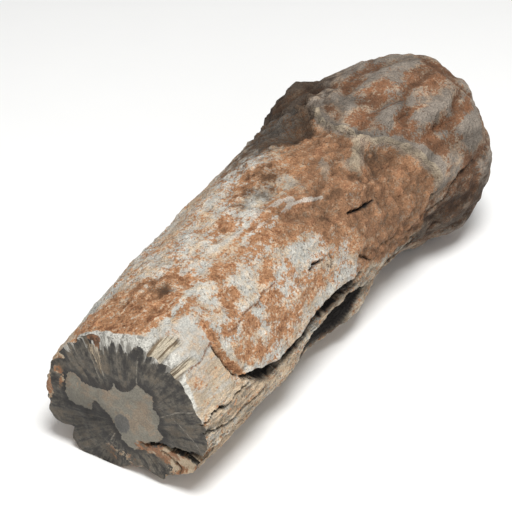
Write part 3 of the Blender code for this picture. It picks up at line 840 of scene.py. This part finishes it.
def face_marks(y, z, rim_gap, deep, raised):
    """What an end's colours are made from, in mm or from 0 to 1."""
    (py, pz), half_y, half_z, tilt = PITH
    c, s = math.cos(math.radians(tilt)), math.sin(math.radians(tilt))
    along, across = (y - py) * c + (z - pz) * s, (z - pz) * c - (y - py) * s
    gaps = {
        "tan": inside_distance(y, z, TAN_OUTLINE),
        "pith": (1.0 - np.hypot(along / half_y, across / half_z)) * half_y,
        "wedge": inside_distance(y, z, WEDGE),
        "strip": inside_distance(y, z, WEDGE_STRIP),
        "vein": np.min([path_distance(y, z, line)[0] for line in FACE_VEINS], axis=0),
        "rim": rim_gap,
        "white": inside_distance(y, z, PALE_TOP),
    }
    return {
        **{name: np.clip(gap, -20.0, 20.0) for name, gap in gaps.items()},
        "stain": limited(spots(y, z, FACE_STAINS, 3)),
        "dim": limited(spots(y, z, FACE_DIM, 3)),
        # Painted shade and light: low places on the ends are darkened and raised ones lightened.
        "relief": limited(0.5 + 0.6 * raised),
        # Painted shade: near black in the deep cracks of the cut face.
        "crack": limited(deep / 2.5),
    }


def end_surface(rim, count, outward, mounds, dome, cracked):
    """Rings of points from the rim to near the middle, with their colour values."""
    middle = rim.mean(axis=0)
    share = (1.0 - np.arange(count) / count)[:, None]
    points = middle + (rim - middle)[None] * share[..., None]
    y, z = points[..., 1], points[..., 2]
    bulge = dome * (1.0 - share**2) + spots(y, z, mounds, 2)
    rim_gap = np.linalg.norm((rim - middle)[:, 1:], axis=1)[None] * (1.0 - share)
    raised = 0.5 * noise_over(points, 6.0, 3.3) + 0.25 * noise_over(points, 2.4, 6.1)
    if not cracked:
        raised *= 4.0
        raised -= 1.6 * ease((0.4 - pits_over(points, 9.0, 1.7)) / 0.3)
    bulge += END_WEATHERING[1] * noise_over(points, END_WEATHERING[0]) + raised
    wobble = noise_over(points, 3.0, 2.7)
    deep = face_crack_depth(y, z, wobble, rim_gap) if cracked else np.zeros_like(y)
    flat_x = rim[None, :, 0] * share**3 + middle[0] * (1.0 - share**3)
    points[..., 0] = flat_x + outward * (bulge * ease(rim_gap / 2.0) - deep)
    return points[1:], face_marks(y, z, rim_gap, deep, raised)


def grid_faces(ring_count):
    """Four corners of each face between rings that follow each other in the point list."""
    ring = np.arange(ring_count - 1)[:, None] * COLUMNS
    here = np.arange(COLUMNS)[None]
    there = (here + 1) % COLUMNS
    above = ring + COLUMNS
    return np.stack([ring + here, above + here, above + there, ring + there], -1).reshape(-1, 4)


def tip_faces(tip, ring_start, flip):
    """Three corners of each face between a ring and the point in its middle."""
    here = np.arange(COLUMNS)
    there = (here + 1) % COLUMNS
    pair = (there, here) if flip else (here, there)
    return [(tip, ring_start + int(a), ring_start + int(b)) for a, b in zip(*pair)]


def log_surface():
    """All points in mm, faces, the material of each face, and the colour values."""
    rows = spread(0.0, LENGTH, RINGS, RING_PEAKS)
    columns = spread(-180.0, 180.0, COLUMNS + 1, COLUMN_PEAKS)[:-1]
    side, bark = side_surface(rows, columns)
    near, cut = end_surface(side[0], NEAR_RINGS, -1.0, NEAR_MOUNDS, NEAR_DOME, True)
    far, broken = end_surface(side[-1], FAR_RINGS, 1.0, FAR_MOUNDS, FAR_DOME, False)
    near_tip = near[-1].mean(axis=0)
    far_tip = far[-1].mean(axis=0)
    rings = np.concatenate([near[::-1], side, far])
    points = np.concatenate([rings.reshape(-1, 3), [near_tip, far_tip]])
    points[:, 2] = np.maximum(points[:, 2], GROUND)
    marks = {}
    for name in sorted({*bark, *cut}):
        near_part = cut.get(name, np.zeros((NEAR_RINGS, COLUMNS)))
        far_part = broken.get(name, np.zeros((FAR_RINGS, COLUMNS)))
        side_part = bark.get(name, np.zeros(side.shape[:2]))
        if name not in bark:
            side_part[0], side_part[-1] = near_part[0], far_part[0]
        tips = [near_part[-1].mean(), far_part[-1].mean()]
        parts = (near_part[:0:-1].ravel(), side_part.ravel(), far_part[1:].ravel(), tips)
        marks[name] = np.concatenate(parts)
    faces = grid_faces(len(rings))
    materials = np.repeat([0] * len(near) + [1] * (len(side) - 1) + [2] * len(far), COLUMNS)
    total = len(rings) * COLUMNS
    caps = tip_faces(total, 0, True) + tip_faces(total + 1, total - COLUMNS, False)
    face_list = faces.tolist() + caps
    return points, face_list, np.concatenate([materials, [0] * COLUMNS, [2] * COLUMNS]), marks


def build_log(materials):
    points, faces, material_of, marks = log_surface()
    mesh = bpy.data.meshes.new("petrified_log_surface")
    mesh.from_pydata(((points - ORIGIN) * MM).tolist(), [], faces)
    for material in materials:
        mesh.materials.append(material)
    mesh.polygons.foreach_set("material_index", material_of.astype(np.int32))
    for name, values in marks.items():
        mark = mesh.attributes.new(name, "FLOAT", "POINT")
        mark.data.foreach_set("value", values.astype(np.float32))
    mesh.validate()
    mesh.shade_smooth()
    mesh.set_sharp_from_angle(angle=math.radians(SHARP_ANGLE))
    surface = bpy.data.objects.new("petrified_log_surface", mesh)
    bpy.context.scene.collection.objects.link(surface)
    return surface


class Stone:
    """A material under construction, with its colour so far.

    A value is a number, a colour, an output, the name of a mark, or a list of values to add
    up, where a pair stands for a value and its share.
    """

    def __init__(self, name, roughness, colour):
        self.material = bpy.data.materials.new(name)
        self.material.use_nodes = True
        self.nodes = self.material.node_tree.nodes
        self.links = self.material.node_tree.links
        self.shader = self.nodes["Principled BSDF"]
        self.shader.inputs["Roughness"].default_value = roughness
        self.shader.inputs["Specular IOR Level"].default_value = SHINE
        self.colour = colour
        self.place = self.vector("MULTIPLY", self.node("TexCoord", "Object", {}), TO_MM)

    def plug(self, socket, value):
        if isinstance(value, str):
            value = self.node("Attribute", "Fac", {}, attribute_name=value)
        if isinstance(value, list):
            value = self.sum(*value)
        if isinstance(value, bpy.types.NodeSocket):
            self.links.new(value, socket)
        else:
            socket.default_value = value

    def node(self, kind, output, plugs, **settings):
        """An output of a new node, with its inputs given by name or number."""
        node = self.nodes.new("ShaderNode" + kind)
        for setting, value in settings.items():
            setattr(node, setting, value)
        for name, value in plugs.items():
            self.plug(node.inputs[name], value)
        return node.outputs[output]

    def vector(self, operation, first, second=(0.0, 0.0, 0.0)):
        return self.node("VectorMath", "Vector", {0: first, 1: second}, operation=operation)

    def number(self, operation, first, second, clamp=False):
        plugs = {0: first, 1: second}
        return self.node("Math", "Value", plugs, operation=operation, use_clamp=clamp)

    def times(self, first, second):
        return self.number("MULTIPLY", first, second)

    def sum(self, *terms):
        terms = [self.times(*term) if isinstance(term, tuple) else term for term in terms]
        total = terms[0]
        for term in terms[1:]:
            total = self.number("ADD", total, term)
        return total

    def drawn_place(self, across, share):
        """A place for noise made from a mark and a share of the distance along the log."""
        along = self.node("SeparateXYZ", "X", {0: self.place})
        return self.node("CombineXYZ", "Vector", {0: across, 1: self.times(along, share)})

    def plain_noise(self, size, detail, roughness, seed=0.0, at=None):
        place = self.place if at is None else at
        plugs = {"Vector": place, "W": seed, "Scale": 1.0 / size, "Detail": detail}
        plugs["Roughness"] = roughness
        return self.node("TexNoise", "Fac", plugs, noise_dimensions="4D")

    def noise(self, size, detail, seed, stretch=1.0, at=None):
        """Noise with a size in mm, drawn out along the grain by stretch, from 0 to 1."""
        if stretch != 1.0:
            at = self.vector("MULTIPLY", self.place, (1.0 / stretch, 1.0, 1.0))
        return self.between(self.plain_noise(size, detail, NOISE_ROUGHNESS, seed, at), *CLEAR_RANGE)

    def between(self, value, low, high):
        """0 below low, 1 above high, and smooth between them. Low may be the greater."""
        plugs = {"Value": value, "From Min": low, "From Max": high}
        return self.node("MapRange", "Result", plugs, interpolation_type="SMOOTHSTEP")

    def mix(self, share, first, second, blend="MIX"):
        plugs = {"Factor": share, 6: first, 7: second}
        return self.node("Mix", 2, plugs, data_type="RGBA", blend_type=blend)

    def blend(self, first, second, value, low, high, strength=1.0):
        """The first colour below low, and the second one, at that strength, above high."""
        share = self.between(value, low, high)
        return self.mix(share if strength == 1.0 else self.times(share, strength), first, second)

    def lay(self, over, *value_and_range):
        """Cover the colour so far with another one where the value goes from low to high."""
        self.colour = self.blend(self.colour, over, *value_and_range)

    def cover(self, over, share, strength=1.0):
        """Cover the colour so far with another one by a share from 0 to 1."""
        share = share if strength == 1.0 else self.times(share, strength)
        self.colour = self.mix(share, self.colour, over)

    def shade(self, low, high, value):
        """Make the colour so far darker or lighter by a value from 0 to 1."""
        factor = self.node("MapRange", "Result", {"Value": value, "To Min": low, "To Max": high})
        grey = self.node("CombineColor", "Color", {0: factor, 1: factor, 2: factor})
        self.colour = self.mix(1.0, self.colour, grey, "MULTIPLY")

    def finish(self, height, distance, strength):
        plugs = {"Strength": strength, "Distance": distance, "Height": height}
        self.plug(self.shader.inputs["Normal"], self.node("Bump", "Normal", plugs))
        self.plug(self.shader.inputs["Base Color"], self.colour)
        return self.material


def bark_material():
    """Weathered outside: pale stone and cream, mottled with rust, fibrous below the slab."""
    stone = Stone("weathered_bark_stone", 0.85, PALE)
    broad = stone.noise(20.0, 3.0, 1.0, 2.2)
    mottle = stone.noise(6.5, 5.0, 2.0, 1.4)
    flecks = stone.noise(2.3, 3.0, 3.0)
    grains = stone.noise(1.0, 1.0, 4.0)
    fibres = stone.noise(2.4, 3.0, 5.0, 10.0)
    clots = stone.noise(4.0, 3.0, 6.0)
    streaky = stone.noise(2.6, 3.0, 7.0, 5.0)
    specks = stone.noise(1.7, 2.0, 8.0)
    stripes = stone.noise(2.4, 2.0, 9.0, at=stone.drawn_place("stripe", 0.1))
    drawn = stone.noise(5.5, 5.0, 10.0, 3.6)
    splinters = stone.noise(2.0, 3.0, 11.0, at=stone.drawn_place("around", 0.06))
    freckles = stone.noise(1.5, 2.0, 12.0)

    stone.lay(CREAM, ["cream", (clots, 0.5), (broad, 0.4)], 0.45, 1.1)
    stone.lay(GREY, ["grey", (broad, 0.4), (clots, 0.2)], 0.3, 1.2)
    stone.cover(PLATE_WHITE, stone.times(stone.between(drawn, 0.35, 0.75), "plate"), 0.6)
    stone.cover(STRATA_GREY, stone.times(stone.between(fibres, 0.5, 0.85), "strata"), 0.75)
    patchy = stone.times([drawn, (mottle, -1.0)], "band")
    striped = stone.times([stripes, -0.5], "striped")
    rust = stone.sum((mottle, 0.42), (patchy, 0.4), (flecks, 0.38), (freckles, 0.34), "rust")
    rust = stone.sum(rust, (striped, 0.6))
    stone.lay(LIGHT_RUST, [(broad, 0.5), (clots, 0.3), "rust"], 0.45, 1.1, 0.5)
    # Rust on the far end is darker, partly as painted shade.
    stone.lay(stone.mix("far", RUST, FAR_RUST_AND_SHADE), rust, 0.86, 1.18)
    stone.lay(DEEP_RUST, [(clots, 0.5), rust], 1.52, 1.95)
    stone.cover(BAND_BROWN, "band", 0.5)
    stone.shade(1.0, 0.92, "band")

    stone.lay(DEEP_RUST, ["seam", (flecks, 1.2)], 1.6, 0.9, 0.85)
    stone.lay(PALE, ["vein", (mottle, 3.0)], 3.4, 2.2, 0.6)
    brown = stone.between(["brown", (mottle, 0.5)], 0.35, 1.15)
    stone.cover(UMBER, brown, 0.72)
    stone.shade(1.0, 0.54, brown)
    stone.shade(1.0, 0.88, "plate")
    stone.shade(1.0, 0.92, "strata")
    stone.lay(VEIN_BEIGE, ["veined", (mottle, 0.5)], 0.8, 1.3, 0.7)
    strokes = stone.times(stone.between(streaky, 0.5, 0.95), stone.times("plate", "cream"))
    stone.cover(LIGHT_RUST, strokes, 0.6)
    glass = stone.blend(PALE, FLUTE_GREY, streaky, 0.45, 1.0, 0.8)
    stone.lay(glass, ["glassy", (mottle, 0.35)], 0.6, 0.85)
    torn = stone.blend(NOTCH_LIGHT, NOTCH_DARK, [(splinters, 0.85), (broad, 0.15)], 0.3, 0.75)
    stone.cover(torn, "notch")
    stone.cover(UMBER, stone.times(stone.between(specks, 0.93, 1.0), [("plate", -0.5), 0.6]))

    # Painted shade in the low relief and painted light on the raised relief.
    stone.shade(0.55, 1.2, "relief")
    stone.shade(0.82, 1.14, grains)
    stone.shade(0.84, 1.1, clots)
    # Painted shade in the cracks, in the hollow and under the slab.
    stone.cover(PAINTED_CRACK_SHADE, "crack")
    calm = stone.number("ADD", [("plate", -0.65), ("notch", -0.9)], 1.0, True)
    rough = stone.times([(grains, 0.3), (flecks, 0.8), (clots, 0.9)], calm)
    layered = stone.times(fibres, ["strata", ("plate", 0.35)])
    split = stone.times(stone.times(splinters, "notch"), 1.5)
    return stone.finish([rough, layered, split], 0.0010, 0.9)


def cut_face_material():
    """The cut end: a smooth tan middle inside dark grey-brown stone with radial streaks."""
    stone = Stone("cut_face_stone", 0.6, FACE_DARK)
    pith = (0.0, PITH[0][0] - ORIGIN[1], PITH[0][1] - GROUND)
    flat = stone.vector("MULTIPLY", stone.vector("SUBTRACT", stone.place, pith), (0.0, 1.0, 1.0))
    round_pith = stone.vector("MULTIPLY", stone.vector("NORMALIZE", flat), STREAKS_ROUND)
    spokes_at = stone.vector("ADD", round_pith, stone.vector("MULTIPLY", flat, STREAKS_OUT))
    spokes = stone.noise(5.0, 3.0, 1.0, at=spokes_at)
    fine_spokes = stone.noise(2.2, 2.0, 2.0, at=spokes_at)
    clouds = stone.noise(9.0, 4.0, 3.0)
    flecks = stone.noise(2.4, 3.0, 4.0)
    grains = stone.noise(1.0, 1.0, 5.0)
    broad = stone.noise(14.0, 3.0, 6.0)
    lobes_at = stone.vector("ADD", stone.place, (3.0, 2.0, 7.0))
    plugs = {"Vector": lobes_at, "Scale": 1.0 / LOBE_SIZE}
    lobes = stone.node("TexVoronoi", "Distance", plugs, feature="DISTANCE_TO_EDGE")

    tone = [(spokes, 0.3), (clouds, 0.3), (flecks, 0.2), (fine_spokes, 0.2)]
    stone.lay(FACE_MIDDLE, tone, 0.25, 0.75)
    stone.lay(FACE_BROWN, [(clouds, 0.6), (spokes, 0.4)], 0.5, 0.9, 0.6)
    edge = stone.sum("tan", (flecks, 1.2))
    stone.lay(FACE_EDGE, [edge, (spokes, 2.4)], -3.6, 0.0, 0.8)
    stone.lay(FACE_EDGE, lobes, 0.09, 0.02, 0.35)
    tan = stone.blend(TAN, TAN_WARM, [(broad, 0.7), (flecks, 0.3)], 0.3, 0.8)
    stone.lay(tan, edge, 0.35, 0.85)
    stone.lay(PITH_GREY, ["pith", (flecks, 0.9)], 0.3, 1.6, 0.9)
    stone.lay(FACE_VEIN, ["vein", (flecks, 0.7)], 1.0, 0.4, 0.6)

    flutes = stone.blend(PALE, FLUTE_GREY, [(fine_spokes, 0.7), (spokes, 0.3)], 0.4, 0.8)
    stone.lay(flutes, ["white", (spokes, 9.0), (fine_spokes, 4.0)], 6.0, 7.4)
    stain_tone = stone.sum((flecks, 0.3), (clouds, 0.7))
    stain = stone.blend(STAIN_PALE, STAIN_RUST, stain_tone, 0.3, 0.7)
    stain = stone.blend(stain, FACE_BROWN, stain_tone, 0.75, 0.95)
    stone.lay(stain, ["stain", (flecks, 0.5)], 0.6, 0.85)
    strip = stone.blend(STAIN_PALE, FACE_BROWN, fine_spokes, 0.3, 0.8)
    stone.lay(strip, ["strip", (fine_spokes, 3.0), flecks], 2.0, 3.4, 0.8)
    wedge = stone.blend(WEDGE_BROWN, STAIN_RUST, flecks, 0.45, 0.9)
    stone.lay(wedge, ["wedge", (flecks, 2.0), fine_spokes], 1.2, 2.2)
    stone.shade(1.0, 0.55, "dim")
    # Painted shade in the low relief and painted light on the raised relief.
    stone.shade(0.82, 1.14, "relief")
    stone.shade(0.84, 1.14, grains)
    # Painted shade in the cracks of the cut face.
    stone.cover(PAINTED_CRACK_SHADE, "crack")
    return stone.finish([(grains, 0.2), (flecks, 0.4), (fine_spokes, 0.4)], 0.0005, 0.5)


def broken_end_material():
    """The rough broken end: brown and grey stone round a paler middle, stained with rust."""
    stone = Stone("broken_end_stone", 0.85, GREY)
    clouds = stone.noise(12.0, 4.0, 2.0)
    flecks = stone.noise(2.4, 4.0, 3.0)
    grains = stone.noise(1.0, 1.0, 4.0)
    stone.lay(FACE_BROWN, ["rim", (clouds, 6.0)], 6.0, 15.0)
    stone.lay(RUST, [(clouds, 0.6), (flecks, 0.4)], 0.5, 0.8, 0.6)
    stone.lay(TAN, ["tan", (flecks, 3.0)], 0.0, 3.0, 0.7)
    # Painted shade in the low relief and painted light on the raised relief.
    stone.shade(0.62, 1.2, "relief")
    stone.shade(0.84, 1.14, grains)
    return stone.finish([(grains, 0.4), flecks], 0.0008, 0.8)


def build_floor():
    bpy.ops.mesh.primitive_plane_add(size=FLOOR_SIZE, location=(0.0, 0.0, -FLOOR_DROP))
    floor = bpy.context.object
    floor.name = "floor"
    stone = Stone("pale_floor", 0.9, FLOOR)
    tone = stone.plain_noise(60.0, 2.0, 0.5)
    stone.shade(0.98, 1.0, tone)
    floor.data.materials.append(stone.finish(tone, 0.0001, 0.1))


def aim(thing, position, target):
    """Place a light or camera and point it at the target."""
    back = (Vector(position) - Vector(target)).normalized()
    thing.matrix_world = Matrix.Translation(position) @ back.to_track_quat("Z", "Y").to_matrix().to_4x4()


def add_light(name, position, size, energy, colour):
    light = bpy.data.lights.new(name, "AREA")
    light.shape = "DISK"
    light.size = size
    light.energy = energy
    light.color = colour
    lamp = bpy.data.objects.new(name, light)
    bpy.context.scene.collection.objects.link(lamp)
    aim(lamp, position, LIGHT_TARGET)


def build_lights():
    for listed in LIGHTS:
        add_light(*listed)
    world = bpy.data.worlds.new("studio")
    world.use_nodes = True
    background = world.node_tree.nodes["Background"]
    background.inputs["Color"].default_value = (1.0, 1.0, 1.0, 1.0)
    background.inputs["Strength"].default_value = SKY_STRENGTH
    bpy.context.scene.world = world


# The photograph's camera: its place in the log's own mm, its two viewing angles in degrees,
# its lens and sensor in mm, and how far it sees in m.
CAMERA_PLACE = np.array([-621.37, -476.65, 643.26])
CAMERA_AZIMUTH = -58.45
CAMERA_ELEVATION = 34.0
CAMERA_LENS = 112.5
SENSOR_WIDTH = 36.0
CLIP_END = 50.0


def build_camera():
    camera_data = bpy.data.cameras.new("photo_camera")
    camera_data.lens = CAMERA_LENS
    camera_data.sensor_width = SENSOR_WIDTH
    camera_data.clip_end = CLIP_END
    camera = bpy.data.objects.new("photo_camera", camera_data)
    bpy.context.scene.collection.objects.link(camera)
    azimuth, elevation = math.radians(CAMERA_AZIMUTH), math.radians(CAMERA_ELEVATION)
    back = Vector((
        math.sin(azimuth) * math.cos(elevation),
        -math.cos(azimuth) * math.cos(elevation),
        math.sin(elevation),
    ))
    place = Vector((CAMERA_PLACE - ORIGIN) * MM)
    aim(camera, place, place - back)
    bpy.context.scene.camera = camera


def set_view():
    view = bpy.context.scene.view_settings
    view.view_transform = "Standard"
    view.look = "None"
    view.exposure = 0.0
    view.gamma = 1.0


surface = build_log([cut_face_material(), bark_material(), broken_end_material()])
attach(surface, "root")
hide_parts("petrified_log")
build_floor()
build_lights()
build_camera()
set_view()
